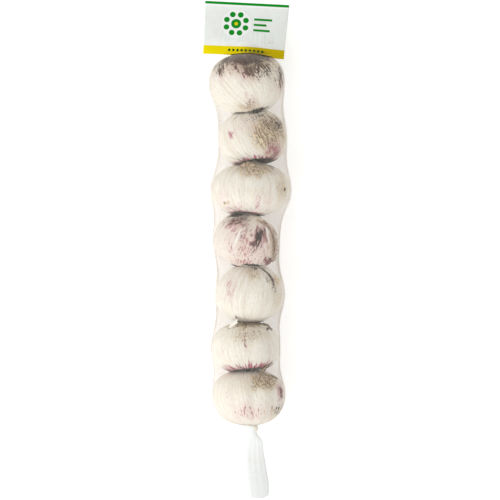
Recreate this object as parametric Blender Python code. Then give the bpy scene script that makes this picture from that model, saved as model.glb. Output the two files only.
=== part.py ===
"""A net of garlic lying on its back: seven bulbs in a tight tube of fine netting, with a printed film
header over the gathered top end and a knot and a loose tail at the other.

Millimetres are used for every size below and turned into metres by MM. +Y runs along the net towards
the header, +X to the right and +Z up from the surface that the net lies on.
"""

import math

import bmesh
import bpy
import numpy as np

MM = 0.001

# Each bulb from the header down: its width across the net, its height from root to neck and its depth
# off the surface, where its middle lies, how far it leans to the left, how much narrower it is at its
# upper end than at its middle, and how many cloves ring it.
BULBS = (
    dict(width=55.0, height=43.8, depth=52.0, x=0.1, y=120.7, lean=4, taper=-0.05, cloves=9),
    dict(width=49.6, height=36.3, depth=46.5, x=4.0, y=83.7, lean=9, taper=0.03, cloves=8),
    dict(width=58.8, height=37.0, depth=53.0, x=2.9, y=44.4, lean=1, taper=0.03, cloves=11),
    dict(width=47.8, height=37.7, depth=46.5, x=-0.2, y=7.3, lean=-12, taper=0.03, cloves=7),
    dict(width=50.5, height=39.9, depth=47.5, x=2.2, y=-30.1, lean=1, taper=0.03, cloves=8),
    dict(width=50.5, height=33.8, depth=47.0, x=-1.0, y=-69.8, lean=4, taper=0.03, cloves=10),
    dict(width=53.0, height=38.1, depth=50.0, x=1.3, y=-107.0, lean=-1, taper=-0.12, cloves=10),
)
SHOULDER = 2.45  # 2 would make a bulb an ellipsoid; more makes its shoulders squarer
CLOVE_RELIEF = 0.055  # depth of the valleys between cloves under the net, as a share of the radius
CLOVE_ROUND = 0.6  # below 1 the cloves are broad and the valleys between them narrow
CLOVE_TWIST = 0.35  # how unevenly the cloves share the circle
RESTING_FLAT = 0.9  # how far each bulb's underside is pressed flat

# The net lies this far off the skin and draws in between two bulbs.
NET_LIFT = 0.35
NET_WAIST = 1.8
SIDES = 40
RING_STEP = 3.7
SAMPLES = 4  # the skin is sampled this many times as closely as the rings stand
CAP_RINGS = 6
CAP_STOP_TOP = 0.66  # the share of a bulb's upper quarter turn that the net follows
CAP_STOP_FOOT = 0.84

# The header is a folded film, slack enough to drop to the surface, which turns a little clockwise.
HEADER_WIDTH = 61.0
HEADER_REACH = 39.6  # along the surface, from its mouth to its fold
HEADER_X = -2.6
HEADER_Y = 142.5
HEADER_TURN = -4.0
HEADER_MOUTH_Z = 25.2
HEADER_CORNER_DROP = 6.5  # how much lower the mouth's corners hang than its middle
HEADER_MOUTH_NARROWER = 0.035  # the share of its width that this takes off the mouth, seen from above
LEAF = 0.5  # each leaf with the slack round it
POCKET_GAP = 0.5
POCKET_FADE = 6.0  # the leaves close up over this distance beyond the pocket
HEADER_ACROSS = 22
HEADER_ALONG = 11
POCKET_ACROSS = 11
POCKET_ALONG = 8
POCKET_OVERRUN = 4.0  # the cut runs out past the mouth

# The netting's gathered top end fans out flat between the leaves, and the bulb below pushes them up.
TUCK_SIDE = 5.5  # how far right of the header's middle the netting goes in
TUCK_WIDTH = 34.0
TUCK_REACH = 24.0
TUCK_HALF = 2.6  # half its height at the mouth
TUCK_PUSH = 2.2  # how far the bulb pushes the mouth's edge back
TUCK_SHARE_AT_MOUTH, TUCK_SHARE_AT_TIP = 0.64, 0.48  # the netting's own width there, of TUCK_WIDTH
TUCK_START, TUCK_TIP = -0.9, 22.6  # from just outside the mouth to well inside
TUCK_RINGS = 5

# The knot below the last bulb and the loose end below that, which drops to the surface and lies on it:
# each place's distance below the knot, its shift to the right, its height over the knot's, its width
# and its thickness.
KNOT_X, KNOT_Y, KNOT_Z = 3.6, -129.4, 22.0
KNOT_LUMP = 1.3  # the tucked-in end that swells the knot on its right
TAIL = (
    dict(down=-2.4, shift=-0.6, up=1.2, width=10.2, thick=8.6),
    dict(down=-0.4, shift=-0.2, up=0.6, width=7.0, thick=6.2),
    dict(down=1.8, shift=0.1, up=-0.3, width=4.8, thick=4.4),
    dict(down=6.2, shift=1.3, up=-3.4, width=8.4, thick=3.4),
    dict(down=10.5, shift=2.1, up=-8.0, width=11.4, thick=3.2),
    dict(down=14.9, shift=1.8, up=-12.6, width=12.3, thick=3.0),
    dict(down=23.6, shift=2.1, up=-18.6, width=14.4, thick=2.8),
    dict(down=32.3, shift=3.2, up=-20.6, width=15.1, thick=2.6),
    dict(down=41.0, shift=4.7, up=-20.7, width=15.1, thick=2.5),
    dict(down=53.5, shift=5.6, up=-20.8, width=13.7, thick=2.4),
)
TAIL_RINGS = 22
RINGS_CROWD = 1.5  # above 1 the rings stand closer together round the knot
PLEATS = 4
PLEAT_RELIEF = 0.28
PLEATS_FROM, PLEATS_FULL = 4.0, 16.0  # below the knot
PLEAT_DRIFT = 0.2  # how far the pleats wander sideways down the tail
TAIL_SLANT = 2.2  # the cut end is this much further down on its left than in its middle
SLANT_FROM = 0.75  # the share of the tail's length at which it starts


def clear_scene():
    for thing in list(bpy.data.objects):
        bpy.data.objects.remove(thing)


def material(name, colour, roughness):
    made = bpy.data.materials.new(name)
    made.use_nodes = True
    shader = made.node_tree.nodes["Principled BSDF"]
    shader.inputs["Base Color"].default_value = (*colour, 1.0)
    shader.inputs["Roughness"].default_value = roughness
    shader.inputs["Metallic"].default_value = 0.0
    return made


def mesh_object(name, points, faces, finish):
    """A named object from points in millimetres, with its faces turned outwards."""
    mesh = bpy.data.meshes.new(name)
    mesh.from_pydata([[c * MM for c in p] for p in points], [], faces)
    shell = bmesh.new()
    shell.from_mesh(mesh)
    bmesh.ops.recalc_face_normals(shell, faces=shell.faces)
    bmesh.ops.triangulate(shell, faces=shell.faces)
    shell.to_mesh(mesh)
    shell.free()
    mesh.materials.append(finish)
    mesh.shade_smooth()
    made = bpy.data.objects.new(name, mesh)
    bpy.context.scene.collection.objects.link(made)
    return made


def loft(rings):
    """Points and faces of a closed skin through rings of equal length, with a fan over each end."""
    count = len(rings[0])
    points = [p for ring in rings for p in ring]
    faces = []
    for i in range(len(rings) - 1):
        for j in range(count):
            k = (j + 1) % count
            faces.append((i * count + j, i * count + k, (i + 1) * count + k, (i + 1) * count + j))
    for ring, start in ((rings[0], 0), (rings[-1], (len(rings) - 1) * count)):
        hub = len(points)
        points.append(np.mean(ring, axis=0))
        faces += [(hub, start + j, start + (j + 1) % count) for j in range(count)]
    return points, faces


def smooth(t):
    t = np.clip(t, 0.0, 1.0)
    return t * t * (3 - 2 * t)


def eased(stations, key, at):
    """The value of key at a place along the stations, eased from one to the next."""
    places = [s["down"] for s in stations]
    i = min(max(int(np.searchsorted(places, at)) - 1, 0), len(places) - 2)
    values = [s[key] for s in stations]
    slopes = np.gradient(values, places)
    span = places[i + 1] - places[i]
    t = (at - places[i]) / span
    start, end = values[i], values[i + 1]
    lift = span * (slopes[i] * (t - 2 * t**2 + t**3) + slopes[i + 1] * (t**3 - t**2))
    return start + (end - start) * (3 * t**2 - 2 * t**3) + lift


def middle(bulb):
    return np.array([bulb["x"], bulb["y"], bulb["depth"] / 2 - RESTING_FLAT])


def skin_reach(bulb, ways):
    """How far the skin lies from the bulb's middle along unit vectors, cloves included."""
    lean = math.radians(bulb["lean"])
    across = ways[..., 0] * math.cos(lean) + ways[..., 1] * math.sin(lean)
    along = ways[..., 1] * math.cos(lean) - ways[..., 0] * math.sin(lean)
    taper = 1 - bulb["taper"] * along
    sideways = across / (bulb["width"] / 2 * taper)
    upwards = ways[..., 2] / (bulb["depth"] / 2 * taper)
    girth = np.hypot(sideways, upwards)
    reach = (girth**SHOULDER + np.abs(along / (bulb["height"] / 2)) ** SHOULDER) ** (-1 / SHOULDER)
    around = np.arctan2(upwards, sideways)
    uneven = around + CLOVE_TWIST * np.sin(around + bulb["cloves"]) / 2
    valley = 1 - np.abs(np.sin(uneven * bulb["cloves"] / 2)) ** CLOVE_ROUND
    # girth times reach is 1 at the bulb's equator and 0 at its poles, where the cloves run together.
    return reach * (1 - CLOVE_RELIEF * valley * (girth * reach) ** 2)


def axis_at(y):
    """The middle of the tube at one place along it, eased between the bulbs' middles."""
    ys = [b["y"] for b in BULBS][::-1]
    xs = [b["x"] for b in BULBS][::-1]
    zs = [middle(b)[2] for b in BULBS][::-1]
    i = min(max(int(np.searchsorted(ys, y)) - 1, 0), len(ys) - 2)
    t = smooth((y - ys[i]) / (ys[i + 1] - ys[i]))
    return np.array([xs[i] + (xs[i + 1] - xs[i]) * t, y, zs[i] + (zs[i + 1] - zs[i]) * t])


def outermost(centre, ways, bulbs):
    """How far out from centre the bulbs' skins lie along each way, or next to 0 where it meets none."""
    step, furthest, halvings = 0.5, 40.0, 8

    def inside(distance):
        spots = centre + ways * distance[:, None]
        held = np.zeros(len(ways), bool)
        for bulb in bulbs:
            arm = spots - middle(bulb)
            length = np.linalg.norm(arm, axis=1)
            held |= length <= skin_reach(bulb, arm / length[:, None])
        return held

    low = np.zeros(len(ways))
    for distance in np.arange(step, furthest, step):
        low = np.where(inside(np.full(len(ways), distance)), distance, low)
    high = low + step
    for _ in range(halvings):
        half = (low + high) / 2
        within = inside(half)
        low, high = np.where(within, half, low), np.where(within, high, half)
    return low


def bridged(places, radii):
    """The netting's radii over one gap: the tight line over the skin's, drawn in along its free span."""
    kept = [0]
    for i in range(1, len(places)):
        while len(kept) > 1:
            a, b = kept[-2], kept[-1]
            rise = (radii[i] - radii[a]) * (places[b] - places[a])
            if rise < (radii[b] - radii[a]) * (places[i] - places[a]):
                break
            kept.pop()
        kept.append(i)
    tight = np.interp(places, places[kept], radii[kept])
    for a, b in zip(kept, kept[1:]):
        share = (places[a : b + 1] - places[a]) / (places[b] - places[a])
        # Two neighbouring samples of the skin have no free span between them, and nothing draws in.
        free = smooth((b - a - SAMPLES / 2) / (2 * SAMPLES))
        tight[a : b + 1] -= NET_WAIST * free * np.sin(math.pi * share) ** 2
    return tight


def around_angles():
    return np.arange(SIDES) * 2 * math.pi / SIDES


def body_rings():
    """The rings of the tube from the first bulb's equator to the last one's."""
    ways = np.array([[math.cos(a), 0.0, math.sin(a)] for a in around_angles()])
    rings = []
    for upper, lower in zip(BULBS, BULBS[1:]):
        count = round((upper["y"] - lower["y"]) / RING_STEP)
        places = np.linspace(lower["y"], upper["y"], count * SAMPLES + 1)
        radii = np.array([outermost(axis_at(y), ways, (upper, lower)) for y in places])
        net = np.array([bridged(places, column) for column in radii.T]).T + NET_LIFT
        for k in range(count * SAMPLES, 0, -SAMPLES):
            rings.append(axis_at(places[k]) + ways * net[k][:, None])
    last = outermost(middle(BULBS[-1]), ways, BULBS[-1:]) + NET_LIFT
    rings.append(middle(BULBS[-1]) + ways * last[:, None])
    return rings


def cap_rings(bulb, towards, stop):
    """Rings from a bulb's equator, left out, to the share stop of the way to its pole."""
    rings = []
    for i in range(1, CAP_RINGS + 1):
        polar = math.pi / 2 * (1 - stop * i / CAP_RINGS)
        out, on = math.sin(polar), towards * math.cos(polar)
        ways = np.array([[out * math.cos(a), on, out * math.sin(a)] for a in around_angles()])
        rings.append(middle(bulb) + ways * (skin_reach(bulb, ways) + NET_LIFT)[:, None])
    return rings


def header_place(side, up, lift=0.0):
    """A point of the header: side to the right of its middle, up from its mouth, lift off its plane."""
    turn = math.radians(HEADER_TURN)
    share = 1 - smooth(up / HEADER_REACH)
    mouth = HEADER_MOUTH_Z - HEADER_CORNER_DROP * (side / (HEADER_WIDTH / 2)) ** 2
    height = LEAF + (mouth - LEAF) * share
    side *= 1 - HEADER_MOUTH_NARROWER * share
    # The bulb pushes the mouth up where the netting goes in.
    up += TUCK_PUSH * (1 - smooth(abs(side - TUCK_SIDE) / (TUCK_WIDTH / 2))) * (1 - smooth(up / TUCK_REACH))
    return np.array(
        [
            HEADER_X + side * math.cos(turn) - up * math.sin(turn),
            HEADER_Y + side * math.sin(turn) + up * math.cos(turn),
            max(height + lift, 0.0),
        ]
    )


def tuck_half(side, up):
    """Half the height of the netting between the leaves."""
    return TUCK_HALF * (1 - smooth(abs(side - TUCK_SIDE) / (TUCK_WIDTH / 2))) * (1 - smooth(up / TUCK_REACH))


def leaf_half(side, up):
    """Half the distance between the outer faces of the two leaves."""
    beside = smooth((abs(side - TUCK_SIDE) - TUCK_WIDTH / 2) / POCKET_FADE)
    beyond = smooth((up - TUCK_REACH) / POCKET_FADE)
    return LEAF + POCKET_GAP * (1 - beside) * (1 - beyond) + tuck_half(side, up)


def slab(sides, ups, half):
    """Points and faces of a closed slab on the header's own curve, half(side, up) thick each way."""
    wide, deep = len(sides) - 1, len(ups) - 1
    grid = {}
    points, faces = [], []
    for face in (1, -1):
        for j, up in enumerate(ups):
            for i, side in enumerate(sides):
                grid[face, i, j] = len(points)
                points.append(header_place(side, up, face * half(side, up)))
    for j in range(deep):
        for i in range(wide):
            corners = ((i, j), (i + 1, j), (i + 1, j + 1), (i, j + 1))
            faces.append([grid[1, a, b] for a, b in corners])
            faces.append([grid[-1, a, b] for a, b in reversed(corners)])
    rim = [(i, 0) for i in range(wide)] + [(wide, j) for j in range(deep)]
    rim += [(i, deep) for i in range(wide, 0, -1)] + [(0, j) for j in range(deep, 0, -1)]
    for (a, b), (c, d) in zip(rim, rim[1:] + rim[:1]):
        faces.append((grid[1, a, b], grid[-1, a, b], grid[-1, c, d], grid[1, c, d]))
    return points, faces


def tuck_rings():
    """The gathered end of the netting, flattened between the header's leaves, its tip last."""
    rings = []
    fullness, edge, squareness = 0.85, 0.15, 0.4
    for i in range(TUCK_RINGS + 1):
        share = i / TUCK_RINGS
        up = TUCK_START + (TUCK_TIP - TUCK_START) * share
        width = TUCK_WIDTH * (TUCK_SHARE_AT_MOUTH + (TUCK_SHARE_AT_TIP - TUCK_SHARE_AT_MOUTH) * share)
        ring = []
        for a in around_angles():
            side = TUCK_SIDE + width / 2 * math.cos(a)
            bow = math.copysign(abs(math.sin(a)) ** squareness, math.sin(a))
            ring.append(header_place(side, up, bow * (fullness * tuck_half(side, up) + edge)))
        rings.append(np.array(ring))
    return rings


def tail_rings():
    """The knot and the net's loose end below it, a flat bunch of pleats."""
    rings = []
    first, last = TAIL[0]["down"], TAIL[-1]["down"]
    for i in range(TAIL_RINGS + 1):
        share = i / TAIL_RINGS
        down = first + (last - first) * share**RINGS_CROWD
        width, thick = eased(TAIL, "width", down), eased(TAIL, "thick", down)
        spread = smooth((down - PLEATS_FROM) / (PLEATS_FULL - PLEATS_FROM))
        slant = TAIL_SLANT * smooth((down / last - SLANT_FROM) / (1 - SLANT_FROM))
        lump = KNOT_LUMP * math.exp(-((down / KNOT_LUMP) ** 2))
        ring = []
        for a in around_angles():
            side = math.cos(a)
            pleat = 1 + PLEAT_RELIEF * spread * math.cos(PLEATS * math.pi * (side + PLEAT_DRIFT * share))
            x = KNOT_X + eased(TAIL, "shift", down) + side * width / 2 + lump * max(side, 0) ** 2
            z = KNOT_Z + eased(TAIL, "up", down) + thick / 2 * math.sin(a) * pleat
            ring.append([x, KNOT_Y - down + slant * side, z])
        rings.append(np.array(ring))
    return rings


def net(finish):
    """The full net as one solid, out to the netting, from its end in the header to its loose end."""
    top = cap_rings(BULBS[0], 1, CAP_STOP_TOP)[::-1]
    foot = cap_rings(BULBS[-1], -1, CAP_STOP_FOOT)
    rings = tuck_rings()[::-1] + top + body_rings() + foot + tail_rings()
    for ring in rings:
        ring[:, 2] = np.maximum(ring[:, 2], 0.0)
    return mesh_object("net_of_bulbs", *loft(rings), finish)


def header(finish):
    """The folded film, with a pocket at its mouth that takes the netting's end."""
    sides = np.linspace(-HEADER_WIDTH / 2, HEADER_WIDTH / 2, HEADER_ACROSS + 1)
    ups = np.linspace(0, HEADER_REACH, HEADER_ALONG + 1)
    film = mesh_object("header_film", *slab(sides, ups, leaf_half), finish)
    pocket_sides = np.linspace(TUCK_SIDE - TUCK_WIDTH / 2, TUCK_SIDE + TUCK_WIDTH / 2, POCKET_ACROSS + 1)
    pocket_ups = np.linspace(-POCKET_OVERRUN, TUCK_REACH, POCKET_ALONG + 1)
    space = slab(pocket_sides, pocket_ups, lambda side, up: POCKET_GAP + tuck_half(side, up))
    cutter = mesh_object("pocket_cutter", *space, finish)
    cutter.hide_render = True
    cutter.display_type = "WIRE"
    film.modifiers.new("pocket", "BOOLEAN").object = cutter


def main():
    clear_scene()
    netting = material("netted_garlic", (0.88, 0.83, 0.74), 0.6)
    film = material("printed_film", (0.84, 0.86, 0.82), 0.35)
    net(netting)
    header(film)


main()
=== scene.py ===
# %% [markdown]
# A net of garlic, seen from straight above as it lies on a white table. Seven bulbs stand end to end
# in a tight sleeve of fine white netting. A printed film, folded in two, closes the sleeve's top end,
# and a knot with a loose flat tail closes the other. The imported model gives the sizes: the netting's
# outside as one solid and the folded film as another. This script dresses both in what they are:
# separate bulbs, netting made of real threads, and a thin film.

# %% Load the fixed frame
import math

import bmesh
import bpy
import numpy as np
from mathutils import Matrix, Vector
from mathutils.bvhtree import BVHTree


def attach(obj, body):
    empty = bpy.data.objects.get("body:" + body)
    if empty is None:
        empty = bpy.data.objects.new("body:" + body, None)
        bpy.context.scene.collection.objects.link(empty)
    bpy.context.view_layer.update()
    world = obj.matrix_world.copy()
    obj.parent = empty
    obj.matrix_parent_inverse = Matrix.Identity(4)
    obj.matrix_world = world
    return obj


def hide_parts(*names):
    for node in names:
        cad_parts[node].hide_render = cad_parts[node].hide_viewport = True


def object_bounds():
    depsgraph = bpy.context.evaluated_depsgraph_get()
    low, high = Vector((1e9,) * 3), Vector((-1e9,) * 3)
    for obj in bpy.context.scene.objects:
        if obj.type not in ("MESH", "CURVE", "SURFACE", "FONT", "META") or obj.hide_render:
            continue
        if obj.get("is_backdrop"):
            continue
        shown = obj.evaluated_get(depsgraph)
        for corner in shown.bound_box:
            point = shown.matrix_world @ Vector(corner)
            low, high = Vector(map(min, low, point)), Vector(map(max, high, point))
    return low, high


MM = 0.001
TURN = 2 * math.pi
scene = bpy.context.scene

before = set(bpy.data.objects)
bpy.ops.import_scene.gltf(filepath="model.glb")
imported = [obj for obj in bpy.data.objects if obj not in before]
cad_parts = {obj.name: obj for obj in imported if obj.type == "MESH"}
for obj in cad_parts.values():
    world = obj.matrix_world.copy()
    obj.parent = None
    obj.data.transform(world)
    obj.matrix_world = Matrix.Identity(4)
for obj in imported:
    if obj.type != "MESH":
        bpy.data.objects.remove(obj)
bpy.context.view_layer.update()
print("nodes:", sorted(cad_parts))

# %% [markdown]
# The photograph was taken from straight above with a long lens, so the bulbs show no perspective to
# speak of. A 135 mm lens at 1.36 m keeps them as flat, and the picture's frame then spans 362.5 mm at
# the height of the bulbs' widest places. The garlic's own place in that frame sets where the camera
# stands over it.

# %% Camera
LENS, SENSOR = 135.0, 36.0
FRAME_SPAN = 362.5
FRAME_X, FRAME_Y = 2.2, 0.7
WIDEST_Z = 25.0
CAMERA_REACH = FRAME_SPAN * LENS / SENSOR


def placed(name, data):
    """A new object of the scene that shows data."""
    made = bpy.data.objects.new(name, data)
    scene.collection.objects.link(made)
    return made


camera_data = bpy.data.cameras.new("camera")
camera_data.lens = LENS
camera_data.sensor_width = SENSOR
camera_data.clip_start = 0.01
camera = placed("camera", camera_data)
camera.location = Vector((FRAME_X, FRAME_Y, WIDEST_Z + CAMERA_REACH)) * MM
scene.camera = camera
print("camera stands", round(CAMERA_REACH), "mm above the bulbs' widest places")

# %% [markdown]
# Every finish is a node tree. `Nodes` adds a node, links its inputs and sets its values in one call,
# which keeps each material readable as a short list of steps.


# %% Helpers for materials
class Nodes:
    """A node tree that is written as a list of steps."""

    def __init__(self, tree):
        self.tree = tree

    def add(self, kind, inputs=(), **settings):
        node = self.tree.nodes.new(kind)
        for key, value in settings.items():
            setattr(node, key, value)
        for key, value in dict(inputs).items():
            if isinstance(value, bpy.types.NodeSocket):
                self.tree.links.new(value, node.inputs[key])
            else:
                node.inputs[key].default_value = value
        return node

    def math(self, operation, a, b=0.0, clamp=False):
        return self.add("ShaderNodeMath", {0: a, 1: b}, operation=operation, use_clamp=clamp).outputs[0]

    def plus(self, a, b):
        return self.math("ADD", a, b)

    def minus(self, a, b):
        return self.math("SUBTRACT", a, b)

    def times(self, a, b):
        return self.math("MULTIPLY", a, b)

    def mix(self, share, a, b):
        """The colour a with b laid over it."""
        node = self.add("ShaderNodeMix", data_type="RGBA")
        for socket, value in ((node.inputs[0], share), (node.inputs[6], a), (node.inputs[7], b)):
            if isinstance(value, bpy.types.NodeSocket):
                self.tree.links.new(value, socket)
            elif isinstance(value, tuple):
                socket.default_value = (*value, 1.0)
            else:
                socket.default_value = value
        return node.outputs[2]

    def step(self, value, low, high):
        """0 below low, 1 above high and a soft rise between them."""
        inputs = {"Value": value, "From Min": low, "From Max": high}
        return self.add("ShaderNodeMapRange", inputs, interpolation_type="SMOOTHSTEP").outputs[0]

    def scaled(self, vector, factors):
        return self.add("ShaderNodeVectorMath", {0: vector, 1: factors}, operation="MULTIPLY").outputs[0]

    def noise(self, vector, factors, detail=3.0, roughness=0.5):
        """Noise over a vector whose numbers are each taken times a factor."""
        vector = self.scaled(vector, factors)
        inputs = {"Vector": vector, "Scale": 1.0, "Detail": detail, "Roughness": roughness}
        return self.add("ShaderNodeTexNoise", inputs).outputs["Fac"]

    def layered(self, colour, layers):
        """The colour with tints laid over it in turn, each by its share."""
        for share, tint in layers:
            colour = self.mix(share, colour, tint)
        return colour


def blank_material(name):
    """A new material, its node tree and its shader's inputs."""
    made = bpy.data.materials.new(name)
    made.use_nodes = True
    return made, Nodes(made.node_tree), made.node_tree.nodes["Principled BSDF"].inputs


def plain_material(name, colour, roughness):
    made, _, inputs = blank_material(name)
    inputs["Base Color"].default_value = (*colour, 1.0)
    inputs["Roughness"].default_value = roughness
    return made


# %% [markdown]
# Soft white light comes from everywhere, as in a light tent, and one large lamp stands at the lower
# left, because the bulbs are brightest there and shaded on their upper right sides. The view
# transform is Standard, which leaves whites white.

# %% Sky and lamp
SKY_STRENGTH = 0.80
LAMP_POWER = 8.5
LAMP_SIZE = 700
LAMP_PLACE = Vector((-760, -620, 900))

scene.view_settings.view_transform = "Standard"
sky = bpy.data.worlds.new("light_tent")
sky.use_nodes = True
sky.node_tree.nodes["Background"].inputs["Color"].default_value = (1.0, 1.0, 1.0, 1.0)
sky.node_tree.nodes["Background"].inputs["Strength"].default_value = SKY_STRENGTH
scene.world = sky

lamp_data = bpy.data.lights.new("lamp", "AREA")
lamp_data.energy = LAMP_POWER
lamp_data.size = LAMP_SIZE * MM
lamp = placed("lamp", lamp_data)
lamp.location = LAMP_PLACE * MM
lamp.rotation_euler = (-LAMP_PLACE).to_track_quat("-Z", "Y").to_euler()
print("lamp:", LAMP_SIZE, "mm wide and", round(LAMP_PLACE.length), "mm away")

# %% [markdown]
# The pack lies on a white table that is lit a little from below, as packs are photographed, so that
# no shadow greys it. The table is one large face, and it is part of the stage, not of the garlic.


# %% Table
def make_piece(name, points, faces, finish):
    """A smooth-shaded piece from points in millimetres."""
    mesh = bpy.data.meshes.new(name)
    mesh.from_pydata((np.asarray(points) * MM).tolist(), [], faces)
    mesh.materials.append(finish)
    mesh.shade_smooth()
    return placed(name, mesh)


FLOOR_HALF = 6000
TABLE_GLOW = 0.33
table_white = plain_material("white_table", (0.93, 0.93, 0.93), 0.9)
glow = table_white.node_tree.nodes["Principled BSDF"].inputs
glow["Emission Color"].default_value = (1.0, 1.0, 1.0, 1.0)
glow["Emission Strength"].default_value = TABLE_GLOW
corners = [(x * FLOOR_HALF, y * FLOOR_HALF, 0) for x, y in ((-1, -1), (1, -1), (1, 1), (-1, 1))]
floor = make_piece("table", corners, [(0, 1, 2, 3)], table_white)
floor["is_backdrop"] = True
print("table:", 2 * FLOOR_HALF // 1000, "m wide")

# %% [markdown]
# The netting is pulled tight over the bulbs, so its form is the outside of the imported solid. Threads
# need a surface with directions on it: round the sleeve and along it. Rings cut through the solid at
# right angles to its length give that surface. Each ring is shared out by its own length, so that the
# threads stand as evenly in the flat tail as round a bulb, and the rings are spaced by the distance
# along the netting, so that they crowd where it turns in to the knot. The tail's folds are eased out
# more than the rest, because the photograph shows it as one flat ribbon.

# %% Form of the netting
AROUND = 144
ROW_STEP = 1.3
SECTION_STEP = 0.4
THREAD_INSET = 0.12
FORM_TOP, FORM_FOOT = 151.0, -182.4
PASSES, TAIL_PASSES = 2, 26
TAIL_TOP = -125.5


def unit(vectors):
    """Vectors of length 1 that point the same way."""
    return vectors / np.linalg.norm(vectors, axis=-1, keepdims=True)


def run_along(points):
    """How far each point of a line lies along it."""
    return np.append(0, np.cumsum(np.linalg.norm(np.diff(points, axis=0), axis=1)))


def eased(rows):
    """Rows drawn a little towards the ones before and after them."""
    rows = rows.copy()
    rows[1:-1] = (rows[:-2] + 2 * rows[1:-1] + rows[2:]) / 4
    return rows


def node_wires(name):
    """A node's points in millimetres and its edges, as arrays."""
    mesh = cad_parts[name].data
    points = np.empty(len(mesh.vertices) * 3)
    mesh.vertices.foreach_get("co", points)
    edges = np.empty(len(mesh.edges) * 2, np.int64)
    mesh.edges.foreach_get("vertices", edges)
    return points.reshape(-1, 3) / MM, edges.reshape(-1, 2)


def ring_at(points, edges, y):
    """The solid's outline in the plane at y, as AROUND points that start at its right."""
    a, b = points[edges[:, 0]], points[edges[:, 1]]
    cut = (a[:, 1] > y) != (b[:, 1] > y)
    a, b = a[cut], b[cut]
    spots = (a + (b - a) * ((y - a[:, 1]) / (b[:, 1] - a[:, 1]))[:, None])[:, [0, 2]]
    centre = (spots.min(axis=0) + spots.max(axis=0)) / 2
    arms = spots - centre
    arms = arms[np.argsort(np.arctan2(arms[:, 1], arms[:, 0]) % TURN)]
    start = arms[-1] - (arms[0] - arms[-1]) * arms[-1, 1] / (arms[0, 1] - arms[-1, 1])
    arms = np.vstack([start, arms, start])
    run = run_along(arms)
    at = np.arange(AROUND) / AROUND * run[-1]
    x, z = (np.interp(at, run, arms[:, k]) + centre[k] for k in (0, 1))
    return np.column_stack([x, np.full(AROUND, y), z])


def eased_round(grid):
    """Rings whose points are drawn a little towards those beside them."""
    return (np.roll(grid, 1, axis=1) + 2 * grid + np.roll(grid, -1, axis=1)) / 4


def softened(grid):
    """Rings with the solid's facets eased out."""
    for _ in range(PASSES):
        grid = eased(eased_round(grid))
    return grid


def flattened(grid):
    """Rings with their folds eased out and their width kept."""
    wide = np.ptp(grid[:, :, 0], axis=1)
    for _ in range(TAIL_PASSES):
        grid = eased_round(grid)
    middles = (grid[:, :, 0].min(axis=1) + grid[:, :, 0].max(axis=1)) / 2
    share = wide / np.ptp(grid[:, :, 0], axis=1)
    grid[:, :, 0] = middles[:, None] + (grid[:, :, 0] - middles[:, None]) * share[:, None]
    return grid


def grid_normals(grid):
    """The outward direction at each point of a grid of rings that runs down the sleeve."""
    down = np.gradient(grid, axis=0)
    round_it = np.roll(grid, -1, axis=1) - np.roll(grid, 1, axis=1)
    return unit(np.cross(down, round_it))


net_points, net_edges = node_wires("net_of_bulbs")
places = np.arange(FORM_TOP, FORM_FOOT, -SECTION_STEP)
fine = np.array([ring_at(net_points, net_edges, y) for y in places])
along = np.append(0, np.cumsum(np.linalg.norm(np.diff(fine, axis=0), axis=2).mean(axis=1)))
row_count = round(along[-1] / ROW_STEP)
rows_at = np.linspace(0, along[-1], row_count)
low = np.clip(np.searchsorted(along, rows_at) - 1, 0, len(along) - 2)
share = ((rows_at - along[low]) / (along[low + 1] - along[low]))[:, None, None]
form = softened(fine[low] * (1 - share) + fine[low + 1] * share)
tail_rows = form[:, 0, 1] < TAIL_TOP
form[tail_rows] = flattened(form[tail_rows])
form -= grid_normals(form) * THREAD_INSET
form[:, :, 2] = np.maximum(form[:, :, 2], THREAD_INSET)
print("netting form:", form.shape[0], "rings over", round(along[-1]), "mm")

# %% [markdown]
# Two families of fine white threads wind round the sleeve, one to the left and one to the right, and
# cross in diamonds about 1.8 mm wide and 2.4 mm high, which draw out longer where the sleeve is
# bunched. A texture of diamonds would do from afar, but these threads are real: Geometry Nodes lay
# straight lines on a flat plan of the sleeve, slant them, and read each point's place on the form
# through its UV map. The plan's second coordinate counts diamonds and not millimetres, which is what
# draws them out. Threads grow thicker towards the underside, where the netting is slack and doubled.

# %% Plan of the threads
THREADS = 92
THREAD_STEPS = 216
THREAD_RADIUS, SLACK_RADIUS = 0.046, 0.115
SLACK_BELOW, TAUT_ABOVE = 10.0, 24.0
DIAMOND_HEIGHT, BUNCHED_HEIGHT = 2.4, 3.8
BUNCHED_FROM, BUNCHED_TO = 60.0, 36.0


def smooth(t):
    t = np.clip(t, 0.0, 1.0)
    return t * t * (3 - 2 * t)


girth = np.linalg.norm(np.roll(form, -1, axis=1) - form, axis=2).sum(axis=1)
bunched = smooth((BUNCHED_FROM - girth) / (BUNCHED_FROM - BUNCHED_TO))
heights = DIAMOND_HEIGHT + (BUNCHED_HEIGHT - DIAMOND_HEIGHT) * bunched
stitches = np.append(0, np.cumsum(ROW_STEP / ((heights[1:] + heights[:-1]) / 2)))
sleeve_turns = stitches[-1] / THREADS
plan = stitches / stitches[-1]
print("diamonds along the sleeve:", round(stitches[-1]))
print("turns of each thread:", round(sleeve_turns, 2))


def tube_faces(rows, count, first=0):
    """Quads of a skin through rings of equal length, whose points follow each other from first on."""
    faces = []
    for i in range(rows - 1):
        for j in range(count):
            k = (j + 1) % count
            a, b = first + i * count, first + (i + 1) * count
            faces.append((a + j, a + k, b + k, b + j))
    return faces


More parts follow.
